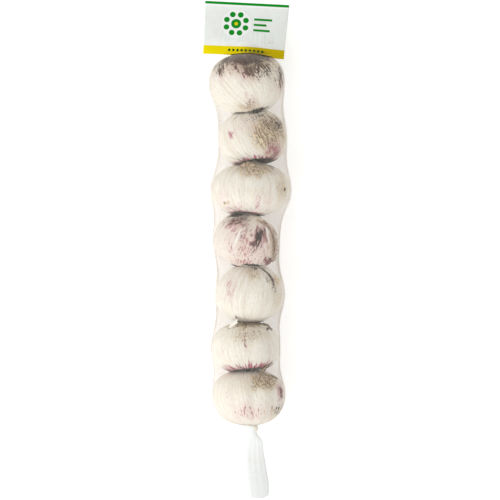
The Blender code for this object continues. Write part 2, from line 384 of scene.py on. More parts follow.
def form_object():
    """The form as a mesh with the plan as its UV map."""
    mesh = bpy.data.meshes.new("sleeve_form")
    faces = tube_faces(len(form), AROUND)
    mesh.from_pydata((form.reshape(-1, 3) * MM).tolist(), [], faces)
    layer = mesh.uv_layers.new(name="plan")
    spots = []
    for i in range(len(form) - 1):
        for j in range(AROUND):
            u0, u1 = j / AROUND, (j + 1) / AROUND
            spots += [u0, plan[i], u1, plan[i], u1, plan[i + 1], u0, plan[i + 1]]
    layer.data.foreach_set("uv", spots)
    return placed("sleeve_form", mesh)


# %% Geometry Nodes that wind the threads
def winding_tree():
    tree = bpy.data.node_groups.new("winding_threads", "GeometryNodeTree")
    sockets = {}
    for name, kind, value in (
        ("Form", "Geometry", None),
        ("Threads", "Int", THREADS),
        ("Steps", "Int", THREAD_STEPS),
        ("Turns", "Float", 1.0),
        ("Thread Radius", "Float", THREAD_RADIUS * MM),
        ("Slack Radius", "Float", SLACK_RADIUS * MM),
        ("Finish", "Material", None),
    ):
        socket = tree.interface.new_socket(name, in_out="INPUT", socket_type=f"NodeSocket{kind}")
        if value is not None:
            socket.default_value = value
        sockets[name] = socket.identifier
    tree.interface.new_socket("Geometry", in_out="OUTPUT", socket_type="NodeSocketGeometry")
    nodes = Nodes(tree)
    given = nodes.add("NodeGroupInput").outputs
    line = nodes.add("GeometryNodeCurvePrimitiveLine", {"Start": (0, 0.002, 0), "End": (0, 0.998, 0)})
    straight = nodes.add("GeometryNodeResampleCurve", {"Curve": line.outputs[0], "Count": given["Steps"]})
    offset = nodes.add("ShaderNodeCombineXYZ", {"X": nodes.math("DIVIDE", 1.0, given["Threads"])}).outputs[0]
    starts = nodes.add("GeometryNodeMeshLine", {"Count": given["Threads"], "Offset": offset})
    sown = {"Points": starts.outputs[0], "Instance": straight.outputs[0]}
    copies = nodes.add("GeometryNodeInstanceOnPoints", sown)
    flat = nodes.add("GeometryNodeRealizeInstances", {0: copies.outputs[0]}).outputs[0]
    position = nodes.add("GeometryNodeInputPosition").outputs[0]
    place = nodes.add("ShaderNodeSeparateXYZ", {0: position}).outputs
    across = nodes.math("FRACT", nodes.plus(place["X"], nodes.times(place["Y"], given["Turns"])))
    spot = nodes.add("ShaderNodeCombineXYZ", {"X": across, "Y": place["Y"]}).outputs[0]
    wanted = nodes.add("GeometryNodeInputNamedAttribute", {"Name": "plan"}, data_type="FLOAT_VECTOR")
    read = nodes.add("GeometryNodeSampleUVSurface", data_type="FLOAT_VECTOR")
    wire = tree.links.new
    wire(given["Form"], read.inputs["Mesh"])
    wire(position, read.inputs["Value"])
    wire(wanted.outputs["Attribute"], read.inputs["Source UV Map"])
    wire(spot, read.inputs["Sample UV"])
    wound = nodes.add("GeometryNodeSetPosition", {"Geometry": flat, "Position": read.outputs["Value"]})
    limits = {"Value": place["Z"], "From Min": SLACK_BELOW * MM, "From Max": TAUT_ABOVE * MM}
    thick = nodes.add("ShaderNodeMapRange", limits)
    wire(given["Slack Radius"], thick.inputs["To Min"])
    wire(given["Thread Radius"], thick.inputs["To Max"])
    sizes = {"Curve": wound.outputs[0], "Radius": thick.outputs[0]}
    sized = nodes.add("GeometryNodeSetCurveRadius", sizes)
    rim = nodes.add("GeometryNodeCurvePrimitiveCircle", {"Resolution": 4, "Radius": 1.0})
    ends = {"Curve": sized.outputs[0], "Profile Curve": rim.outputs[0]}
    tubes = nodes.add("GeometryNodeCurveToMesh", ends)
    if "Scale" in tubes.inputs:
        wire(thick.outputs[0], tubes.inputs["Scale"])
    tubes.inputs["Fill Caps"].default_value = True
    real = nodes.add("GeometryNodeRealizeInstances", {0: tubes.outputs[0]})
    done = nodes.add("GeometryNodeSetMaterial", {"Geometry": real.outputs[0], "Material": given["Finish"]})
    nodes.add("NodeGroupOutput", {0: done.outputs[0]})
    return tree, sockets


def built_by(host, tree, sockets, values, name):
    """The plain mesh that a Geometry Nodes tree makes of host, as a piece of its own."""
    modifier = host.modifiers.new(name, "NODES")
    modifier.node_group = tree
    for key, value in values.items():
        modifier[sockets[key]] = value
    bpy.context.view_layer.update()
    evaluated = host.evaluated_get(bpy.context.evaluated_depsgraph_get())
    mesh = bpy.data.meshes.new_from_object(evaluated)
    mesh.name = name
    host.modifiers.remove(modifier)
    piece = placed(name, mesh)
    print(name, "has", len(mesh.polygons), "faces")
    return piece


net_white = plain_material("net_white", (0.76, 0.70, 0.63), 0.5)
winding, winding_sockets = winding_tree()
sleeve = form_object()
net_threads = []
for side, sign in (("left", -1.0), ("right", 1.0)):
    values = {"Turns": sign * sleeve_turns, "Finish": net_white}
    net_threads.append(built_by(sleeve, winding, winding_sockets, values, f"net_threads_{side}"))
form_tree = BVHTree.FromObject(sleeve, bpy.context.evaluated_depsgraph_get())
bpy.data.objects.remove(sleeve)

# %% [markdown]
# The netting's own plastic is matte white and needs no pattern: its threads are thinner than a pixel.
# Where the sleeve is bunched into the knot and the tail, some hundred threads lie on one another, so
# little shows between them. A core of the same plastic fills that bunch, a hair below the threads, with
# fine ribs of stretched noise. Over the knot lies a rolled, creamier edge of the netting.

# %% Bunched netting in the knot, the tail and the header's mouth
CORE_INSET = 0.12
ROLL_PATH = ((-0.6, -125.2), (1.8, -125.5), (4.2, -126.0), (6.0, -127.2), (6.9, -128.8), (6.6, -130.4))
ROLL_RADII, ROLL_AROUND, ROLL_LIFT, KNOT_HEIGHT = (0.35, 0.55, 0.7, 1.1, 1.4, 0.9), 12, 0.1, 12.0
GATHERED_FROM = 145.6


def dress(nodes, inputs, colour, roughness, height=None, strength=0.0, depth=0.0):
    """Gives a shader its colour, its roughness and, from a height, its fine relief."""
    nodes.tree.links.new(colour, inputs["Base Color"])
    inputs["Roughness"].default_value = roughness
    if height is not None:
        lifted = nodes.add("ShaderNodeBump", {"Height": height, "Strength": strength, "Distance": depth})
        nodes.tree.links.new(lifted.outputs[0], inputs["Normal"])


def bunch_material(name, low, high):
    made, nodes, inputs = blank_material(name)
    place = nodes.add("ShaderNodeTexCoord").outputs["Object"]
    ribs = nodes.noise(place, (2600.0, 420.0, 2600.0), detail=2.0)
    shade = nodes.mix(nodes.step(ribs, 0.38, 0.62), low, high)
    dress(nodes, inputs, shade, 0.55, ribs, 0.3, 0.0001)
    return made


def outwards(piece):
    """Turns a closed piece's faces outwards."""
    shell = bmesh.new()
    shell.from_mesh(piece.data)
    bmesh.ops.recalc_face_normals(shell, faces=shell.faces)
    shell.to_mesh(piece.data)
    shell.free()
    return piece


def capped(rings):
    """The points of rings, then one in the middle of each end."""
    return np.vstack([rings.reshape(-1, 3), rings[0].mean(axis=0), rings[-1].mean(axis=0)])


def closed_run(name, rings, finish):
    """A closed piece through rings, with a point in the middle of each end."""
    rows, count = rings.shape[:2]
    faces = tube_faces(rows, count)
    for hub, start in ((rows * count, 0), (rows * count + 1, (rows - 1) * count)):
        faces += [(hub, start + j, start + (j + 1) % count) for j in range(count)]
    return outwards(make_piece(name, capped(rings), faces, finish))


def straight_down(tree, x, y):
    """Where a ray from above first meets a tree at a place in millimetres, or nothing."""
    return tree.ray_cast(Vector((x, y, 80.0)) * MM, Vector((0, 0, -1)))[0]


def knot_roll(finish):
    """The rolled edge of the netting that lies over the knot, from left to right and down."""
    hits = [straight_down(form_tree, x, y) for x, y in ROLL_PATH]
    heights = [hit.z / MM + ROLL_LIFT if hit else KNOT_HEIGHT for hit in hits]
    spine = np.column_stack([np.array(ROLL_PATH), heights])
    heading = unit(np.gradient(spine, axis=0))
    side = unit(np.cross(heading, (0, 0, 1.0)))
    over_it = np.cross(side, heading)
    turns = (np.arange(ROLL_AROUND) * TURN / ROLL_AROUND)[None, :, None]
    round_it = side[:, None] * np.cos(turns) + over_it[:, None] * np.sin(turns)
    return closed_run("knot_roll", spine[:, None] + round_it * np.array(ROLL_RADII)[:, None, None], finish)


bunch_white = bunch_material("bunched_net", (0.715, 0.73, 0.715), (0.745, 0.76, 0.74))
rolled_cream = bunch_material("rolled_net", (0.60, 0.52, 0.40), (0.74, 0.70, 0.62))
core = form - grid_normals(form) * CORE_INSET
core[:, :, 2] = np.maximum(core[:, :, 2], THREAD_INSET)
row_y = form[:, 0, 1]
bunches = [
    closed_run("gathered_foot", core[row_y < TAIL_TOP], bunch_white),
    closed_run("gathered_top", core[row_y > GATHERED_FROM], bunch_white),
    knot_roll(rolled_cream),
]
print("bunched netting:", [piece.name for piece in bunches])

# %% [markdown]
# Each bulb is a broad, squat bundle of cloves in papery skin. Its main form is a rounded box turned
# about the line from root to neck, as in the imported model. Valleys between the cloves, fine creases
# that gather at the neck, a dimple at the root and a slow unevenness are laid over that form by waves
# round the bulb. The pattern's neck tips towards the camera where the photograph shows it, while the
# outline stays where the solid has it. Where two bulbs press on each other, both stop at the surface
# that lies as deep in one as in the other.

# %% The bulbs' sizes
SIZE_NAMES = ("width", "height", "depth", "x", "y", "lean", "taper", "cloves", "shoulder")
SIZES = (
    (55.0, 45.8, 52.0, 0.1, 121.2, 8, -0.05, 9, 2.12),
    (49.6, 40.6, 46.5, 4.0, 82.2, 9, 0.06, 8, 2.4),
    (58.8, 38.6, 53.0, 2.9, 44.6, 1, 0.03, 11, 2.12),
    (47.8, 39.4, 46.5, -0.2, 7.3, -20, 0.03, 7, 2.25),
    (50.5, 42.4, 47.5, 2.2, -30.6, 1, 0.06, 8, 2.12),
    (50.5, 36.8, 47.0, -1.0, -69.8, 4, 0.0, 10, 2.3),
    (53.0, 41.0, 50.0, 1.3, -106.7, -1, -0.12, 10, 2.3),
)
# Which way each neck points; how far neck and root tip towards the camera and the root to the right, in
# degrees; how wide the hollow round the root is in radians and how deep in mm; how deep the valleys
# between the cloves are as a share of the radius; how creased the skin is and how much its lines turn
# from neck to root.
HABIT_NAMES = ("neck", "neck_tip", "root_tip", "root_right", "hollow", "dimple", "valley", "crease", "twist")
HABITS = (
    (-1, 17, 0, 0, 0.2, 2.0, 0.03, 0.7, 0.45),
    (1, 4, 13, -2, 0.62, 5.5, 0.03, 0.4, -0.3),
    (1, 8, 14, -12, 0.5, 4.5, 0.03, 0.6, -0.1),
    (1, 32, 4, 8, 0.24, 3.0, 0.075, 1.0, 0.0),
    (1, 3, -4, 0, 0.3, 3.4, 0.035, 0.6, 0.2),
    (1, 12, 13, 3, 0.66, 5.0, 0.03, 0.5, -0.1),
    (1, 3, 0, 0, 0.3, 3.0, 0.025, 0.4, -0.25),
)
BULBS = [dict(zip(SIZE_NAMES + HABIT_NAMES, size + way)) for size, way in zip(SIZES, HABITS)]
RESTING_FLAT = 0.9
CLOVE_ROUND = 0.6
CLOVE_TWIST = 0.35
BULB_AROUND, BULB_ROWS = 176, 132
SKIN_CLEARANCE = 0.22
NECK_RISE, NECK_SPREAD = 3.2, 0.22
UNEVEN = 0.008
CREASE_DEPTH, NECK_CREASE, CREASE_SPREAD = 0.0035, 0.02, 0.55
WRINKLE_DEPTH, WRINKLE_WIDTH = 0.012, 0.25
STREAK_SCALE, STREAKS_APART = 25, 200
print("widths of the bulbs in mm:", [bulb["width"] for bulb in BULBS])


def middle(bulb):
    return np.array([bulb["x"], bulb["y"], bulb["depth"] / 2 - RESTING_FLAT])


def leaned(bulb, ways):
    """Ways turned into the bulb's own frame: across, along and off the surface."""
    lean = math.radians(bulb["lean"])
    across = ways[..., 0] * math.cos(lean) + ways[..., 1] * math.sin(lean)
    along_it = ways[..., 1] * math.cos(lean) - ways[..., 0] * math.sin(lean)
    return across, along_it, ways[..., 2]


def plain_reach(bulb, ways):
    """How far the plain form lies from the bulb's middle along unit vectors."""
    across, along_it, up = leaned(bulb, ways)
    taper = 1 - bulb["taper"] * along_it
    girth = np.hypot(across / (bulb["width"] / 2 * taper), up / (bulb["depth"] / 2 * taper))
    box = bulb["shoulder"]
    return (girth**box + np.abs(along_it / (bulb["height"] / 2)) ** box) ** (-1 / box)


def waves(angle, rise, counts, seed, drift=1.0):
    """A sum of waves round the bulb, about -1 to 1, that wander as they rise."""
    dice = np.random.default_rng(seed)
    total = np.zeros_like(angle)
    for count in counts:
        phase, sway, strength = dice.uniform(0, TURN), dice.uniform(-drift, drift), dice.uniform(0.5, 1)
        total += strength * np.sin(count * angle + phase + sway * count * 0.12 * np.sin(rise * 2.2 + phase))
    return total / math.sqrt(len(counts))


# %% The skin's own form
def pattern_ways(bulb, angle, fall):
    """Unit vectors of the skin's pattern: angle round the bulb, fall down from its neck to its root."""
    share = smooth(fall / math.pi)
    angle = angle + bulb["twist"] * (fall - math.pi / 2)
    lean = np.radians(bulb["lean"] + bulb["root_right"] * share)
    flat = np.zeros_like(lean)
    right = np.stack([np.cos(lean), np.sin(lean), flat], axis=-1)
    up = np.stack([-np.sin(lean), np.cos(lean), flat], axis=-1) * bulb["neck"]
    off = np.array([0.0, 0.0, 1.0])
    tip = np.radians(bulb["neck_tip"] * (1 - share) - bulb["root_tip"] * share)
    along_it, front = np.cos(fall), np.sin(fall) * np.sin(angle)
    raised = along_it * np.sin(tip) + front * np.cos(tip)
    along_it = along_it * np.cos(tip) - front * np.sin(tip)
    across = np.sin(fall) * np.cos(angle)
    return right * across[..., None] + up * along_it[..., None] + off * raised[..., None]


def root_hollow(bulb, fall):
    """How deep the hollow round the root is at an angle down from the neck."""
    return bulb["dimple"] * (1 - smooth((math.pi - fall) / bulb["hollow"]) ** 2)


def hollowed_reach(index, ways):
    """The plain form's reach with the hollow round the root taken out."""
    bulb = BULBS[index]
    root = pattern_ways(bulb, np.array(0.0), np.array(math.pi))
    fall = math.pi - np.arccos(np.clip(ways @ root, -1, 1))
    return plain_reach(bulb, ways) - root_hollow(bulb, fall)


def bulb_grid(bulb, seed):
    """Angles round and down from the neck, unit ways and the skin's distance along each."""
    angle = np.arange(BULB_AROUND) * TURN / BULB_AROUND
    fall = np.linspace(0.02, math.pi - 0.02, BULB_ROWS)
    angle, fall = np.meshgrid(angle, fall)
    ways = pattern_ways(bulb, angle, fall)
    belly = np.sin(fall) ** 2
    uneven = angle + CLOVE_TWIST * np.sin(angle + bulb["cloves"]) / 2
    uneven = uneven + 0.12 * waves(angle, fall, (2, 3), seed + 40)
    valley = 1 - np.abs(np.sin(uneven * bulb["cloves"] / 2)) ** CLOVE_ROUND
    depth = 0.65 + 0.35 * waves(angle, fall, (1, 2, 3), seed + 50)
    crowd = np.exp(-((np.sin(fall) / CREASE_SPREAD) ** 2)) * (fall < math.pi / 2)
    creases = waves(angle, fall, (17, 23, 31, 38, 46), seed + 60, drift=2.0)
    ridges = np.abs(waves(angle, fall, (9, 13, 19), seed + 70, drift=2.5))
    share = 1 - bulb["valley"] * valley * depth * belly
    share += UNEVEN * waves(angle, fall, (2, 3, 4), seed + 80) * belly
    share += bulb["crease"] * (CREASE_DEPTH + NECK_CREASE * crowd) * creases * np.sin(fall)
    wrinkles = np.clip(1 - ridges / WRINKLE_WIDTH, 0, 1)
    share -= bulb["crease"] * WRINKLE_DEPTH * wrinkles * belly
    reach = plain_reach(bulb, ways) * share
    reach += NECK_RISE * np.exp(-((np.sin(fall) / NECK_SPREAD) ** 2)) * (fall < math.pi / 2)
    reach -= root_hollow(bulb, fall)
    # sunk is how deep a point lies in a clove valley or wrinkle; the skin material darkens it there as
    # painted crease shade.
    sunk = np.clip(valley * depth * belly + wrinkles / 2 * bulb["crease"], 0, 1)
    return angle, fall, ways, reach, sunk


def held_off(index, points):
    """Points moved towards their bulb's middle until they lie no deeper in a neighbour than in it."""
    centre = middle(BULBS[index])
    arms = points - centre
    for other in (index - 1, index + 1):
        if not 0 <= other < len(BULBS):
            continue
        low, high = np.zeros(len(arms)), np.ones(len(arms))
        own = np.linalg.norm(arms, axis=1)
        own_reach = plain_reach(BULBS[index], arms / own[:, None])
        for _ in range(14):
            half = (low + high) / 2
            far = centre + arms * half[:, None] - middle(BULBS[other])
            length = np.linalg.norm(far, axis=1)
            deep = length / hollowed_reach(other, far / length[:, None])
            clear = half * own / own_reach < deep - 0.012
            low, high = np.where(clear, half, low), np.where(clear, high, half)
        arms = arms * np.where(high > 0.9999, 1.0, low)[:, None]
    return centre + arms


def inside_net(points, clearance):
    """Points brought in where they come nearer to the netting than clearance."""
    kept = points.copy()
    for i, point in enumerate(points):
        near, normal, _, _ = form_tree.find_nearest(Vector(point) * MM)
        depth = (near - Vector(point) * MM).dot(normal) / MM
        if depth < clearance:
            kept[i] = np.array(near) / MM - np.array(normal) * clearance
    return kept


# %% [markdown]
# What makes one bulb unlike the next is its skin: soil where it was pulled from the ground, purple
# streaks, tan patches where an outer layer has worn off. Each bulb has a short list of such marks by
# kind, each an oval with its place, half sizes and tilt as seen from above. One kind is no mark of the
# skin but painted shade: near-black in the grooves where bulbs meet. The marks are stored in the mesh
# as colours, one channel a kind, and the material breaks them up into streaks and specks. The underside
# gets the same marks mirrored and a little weaker.

# %% Marks on the skins
# Place right of and above the bulb's middle, half width, half height, tilt to the left, amount.
# On most bulbs tan and soil ovals run down the right edge and make that edge darker than the left.
MARKS = (
    dict(
        soil=(
            (0, 21, 36, 10.5, 4, 1.5), (-19, 11, 6.5, 8.5, 0, 1), (-1, 10, 9, 9, 30, 0.55),
            (23.5, 5, 5, 15, 0, 0.85), (5, 11, 15, 11, 0, 0.95), (-8, 12, 7, 8, 20, 0.7),
            (15, 10, 8, 10, 0, 0.75), (3, -14, 8, 5, 0, 0.5),
        ),
        tan=((0, 17, 34, 15, 0, 0.95), (1, -17.5, 14, 6, 0, 0.7), (21, -2, 8, 16, 0, 0.35)),
        blush=(
            (0.5, 6, 12, 7, 0, 0.55), (-6, 11, 14, 8, 0, 0.4), (-19.5, 6, 6, 9, 0, 0.5),
            (24, -2, 4, 10, 0, 0.5), (-0.8, -8.3, 2, 2.5, 0, 0.8), (3, -13, 7, 5, 0, 0.4),
        ),
        gap_shade=((6.5, -19.6, 12, 1.9, 17, 1.25), (-6, -21.4, 8.5, 1.3, 5, 1.2)),
    ),
    dict(
        soil=(
            (15, 9, 14, 12, -20, 0.62), (18, 10, 6, 5, 0, 1), (4, 15, 12, 4, 10, 0.6),
            (16, -6, 9, 10, 0, 0.4),
        ),
        tan=((11, 3, 19, 19, -15, 1.1), (15, -9, 9, 10, 0, 0.85)),
        blush=((-15.6, 1.9, 3.5, 4, 0, 0.95), (16, -9, 8, 8.5, 0, 0.85), (-4, 9, 12, 9, 0, 0.3)),
        gap_shade=((3.5, 18.6, 9, 1.3, 16, 1),),
        line=((-12.5, 14, 0.8, 5, -52, 0.7),),
    ),
    dict(
        soil=((15, 13.5, 12, 5, -15, 0.45), (-10, 15, 8, 4, 20, 0.35), (24.3, 1.3, 1.2, 1.2, 0, 1.5)),
        tan=(
            (2, 14.5, 22, 9, 0, 0.9), (22, 2, 7, 18, 0, 0.6), (3, -2, 14, 9, 0, 0.3),
            (-17.4, -9.6, 1.6, 1.6, 0, 1.2),
        ),
        blush=(
            (5.8, -9, 3.5, 11, 0, 0.5), (12, -11, 3, 8, 0, 0.4), (-12, -13.5, 10, 4.5, 0, 0.5),
            (-20, -5, 4, 9, 0, 0.35),
        ),
        gap_shade=((-9.5, 18.4, 4.5, 1.2, 14, 1.1), (15, 18, 6, 1.4, -18, 1.1)),
    ),
    dict(
        soil=(
            (-7, 15, 13, 5.5, 12, 0.85), (8.6, 2, 5.5, 11.5, -16, 1.1), (-1.5, 9, 9, 6, -24, 0.5),
            (20, -2, 3.5, 17, 4, 0.7), (16.5, -14.5, 5.5, 4.5, 30, 1),
        ),
        tan=((18.5, 0, 5, 19, 4, 1),),
        blush=(
            (0, -3, 27, 21, -12, 0.6), (-8, 12, 14, 8, 20, 0.78), (9.5, 2.5, 8.5, 13, -14, 1.1),
            (-1, 5, 4.5, 11, -24, 0.7), (15.5, -15, 6, 5, 0, 1.1), (-2, -15, 16, 4, 0, 0.7),
        ),
        gap_shade=((9, 2.8, 4.2, 9, -16, 1), (-9, 18.6, 10, 1.6, 4, 1.1), (4, -17.6, 11, 1.2, -4, 1.2)),
        line=(
            (4.2, -9.4, 1.2, 6.5, -26, 0.75), (-4.4, 3.2, 1.3, 10.5, -27, 0.5),
            (0.8, 8, 1.3, 6, -20, 0.55),
        ),
        pale=((-6.7, 2.6, 1.1, 10.5, -26, 1.1), (15, 4.5, 1.1, 9, 12, 1.1)),
    ),
    dict(
        soil=(
            (14, 9.5, 1.8, 7, 33, 0.66), (17.3, 1.5, 1.3, 5, 4, 0.6), (4, 19, 11, 2.2, -6, 0.8),
            (-2, -19.5, 7, 3, 0, 0.5),
        ),
        tan=(
            (2, 14, 12, 7, 0, 0.65), (18.5, 9, 6, 7, 0, 0.8), (20, -4, 6, 16, 0, 0.45),
            (3, 8, 10, 12, 0, 0.3),
        ),
        blush=((-14.5, 3, 4, 14, 0, 0.6),),
        gap_shade=((3.5, 21.6, 10, 1.7, -6, 1.5),),
    ),
    dict(
        soil=(
            (2, 18.5, 22, 2.4, 4, 0.9), (3, 9, 20, 7, 4, 0.3), (-11, 15.4, 8, 1, -4, 0.9),
            (17, 13.5, 5, 1.2, 40, 1), (11.5, -14.6, 6, 3, 14, 0.8),
        ),
        tan=((0, 16.5, 24, 4, 4, 1), (2, 9, 24, 10, 4, 0.55)),
        blush=((0, 4, 2, 10, 0, 0.4),),
        line=((-0.4, 4.6, 0.7, 9, 0, 0.8),),
    ),
    dict(
        soil=(
            (13, 13, 12, 8, 0, 0.42), (23.4, 5.5, 3.5, 10, 0, 0.7), (22, -8.5, 4.5, 8, -25, 0.6),
            (18.5, -10, 6, 6, 0, 0.45),
        ),
        tan=((11, 12, 16, 10, 0, 1.1), (-6, 9, 20, 11, 0, 0.36), (17, -11, 8, 8, 0, 0.5)),
        blush=((22.5, 5.5, 4.5, 10, 0, 0.8), (0, -10, 18, 9, 0, 0.56), (-14, 0, 7, 12, 0, 0.2)),
        gap_shade=((1, 20, 13, 0.8, 3, 0.9),),
    ),
)
# The fifth kind is near-black painted shade in the grooves where bulbs meet, in root hollows and in one deep
# fold.
KINDS = ("soil", "blush", "tan", "line", "gap_shade", "spikes", "pale")
SHARP_KINDS = ("gap_shade", "line", "pale")
# How dark the painted shade in each bulb's root hollow is, and how far magenta spikes reach up from its rim
# in radians.
ROOT_LOOKS = ((0.0, 0.0), (1.0, 0.22), (1.0, 0.2), (1.0, 0.25), (0.0, 0.0), (0.85, 0.55), (0.0, 0.0))
CAMERA_POINT = np.array([FRAME_X, FRAME_Y, WIDEST_Z + CAMERA_REACH])
print("marks on each bulb:", [sum(map(len, kinds.values())) for kinds in MARKS])


def as_seen(points):
    """Where the camera sees points, on the level of the bulbs' widest places."""
    arms = points - CAMERA_POINT
    return (CAMERA_POINT + arms * (CAMERA_REACH / -arms[:, 2])[:, None])[:, :2]


def oval(offsets, mark):
    """1 in the middle of a mark, fading to 0 at its rim."""
    side, up, half_width, half_height, tilt, amount = mark
    turn = math.radians(tilt)
    x, y = offsets[:, 0] - side, offsets[:, 1] - up
    across = (x * math.cos(turn) + y * math.sin(turn)) / half_width
    along_it = (y * math.cos(turn) - x * math.sin(turn)) / half_height
    return amount * (1 - smooth((np.hypot(across, along_it) - 0.1) / 1.1))


def raise_share(shares, kind, amount):
    """Lifts every point's share of a kind to an amount at least."""
    column = KINDS.index(kind)
    shares[:, column] = np.maximum(shares[:, column], amount)


def painted(index, points, angle, fall):
    """Each point's share of every kind of mark."""
    bulb = BULBS[index]
    offsets = as_seen(points) - middle(bulb)[:2]
    wander = [waves(angle, fall, (5, 9, 14, 22), seed, drift=3.0) for seed in (11, 12)]
    wander = np.column_stack(wander)
    front = smooth((points[:, 2] - middle(bulb)[2]) / 12 + 0.5)
    shares = np.zeros((len(points), len(KINDS)))
    for kind in KINDS:
        spots = offsets + wander * (0.5 if kind in SHARP_KINDS else 1.6)
        for mark in MARKS[index].get(kind, ()):
            seen = oval(spots, mark) * front
            hidden = oval(spots * (-1, 1), mark) * (1 - front) * 0.7
            raise_share(shares, kind, seen + hidden)
    dark, spiked = ROOT_LOOKS[index]
    rim = math.pi - bulb["hollow"]
    ragged = 0.03 * waves(angle, fall, (19, 31, 47), 13, drift=1.0)
    # Near-black painted shade in the root hollow, as strong as the first number of the bulb's ROOT_LOOKS.
    raise_share(shares, "gap_shade", dark * smooth((fall - rim + ragged) / 0.08 + 0.5))
    raise_share(shares, "soil", 0.8 * smooth((fall - rim + 0.06) / 0.16))
    raise_share(shares, "blush", 0.45 * smooth((fall - rim + 0.3) / 0.4))
    if spiked:
        raise_share(shares, "spikes", smooth((fall - rim + spiked) / spiked))
    raise_share(shares, "tan", 0.5 * smooth((0.5 - fall) / 0.35))
    return shares


# %% [markdown]
# Garlic skin is a stack of dry papery layers with fine veins from root to neck. The colour starts as
# cream, with veins that are noise stretched along a coordinate that runs round the bulb without a
# seam. Tan, purple and soil are laid over it in that order, each where its mark is stronger than a
# noise of its own grain: strokes along the skin for tan and purple, strokes and specks for soil.
# Later layers add painted shade: a tan darkening in the clove valleys and wrinkles, and near-black in
# the grooves between bulbs and the root hollows.


# %% Material of the skins
CREAM = (0.875, 0.85, 0.775)
VEIN = (0.66, 0.57, 0.44)
# The first colour below tints the worn patches and is also the painted shade in clove valleys and wrinkles.
WORN_AND_CREASE_SHADE, WORN_DARK = (0.75, 0.61, 0.41), (0.19, 0.11, 0.04)
GREY_TAN = (0.58, 0.49, 0.37)
PINK = (0.74, 0.48, 0.49)
PURPLE = (0.36, 0.07, 0.12)
MAGENTA = (0.50, 0.06, 0.16)
EARTH, EARTH_LIGHT = (0.014, 0.003, 0.001), (0.15, 0.06, 0.025)
DUST, OLIVE = (0.40, 0.25, 0.14), (0.37, 0.26, 0.10)
RED_BROWN = (0.11, 0.015, 0.02)
CRACK = (0.07, 0.03, 0.03)
# Near-black painted shade for the grooves between bulbs and the root hollows.
GAP_SHADOW = (0.012, 0.008, 0.007)
PAPER_WHITE = (0.88, 0.85, 0.79)
FRECKLE = (0.42, 0.20, 0.16)


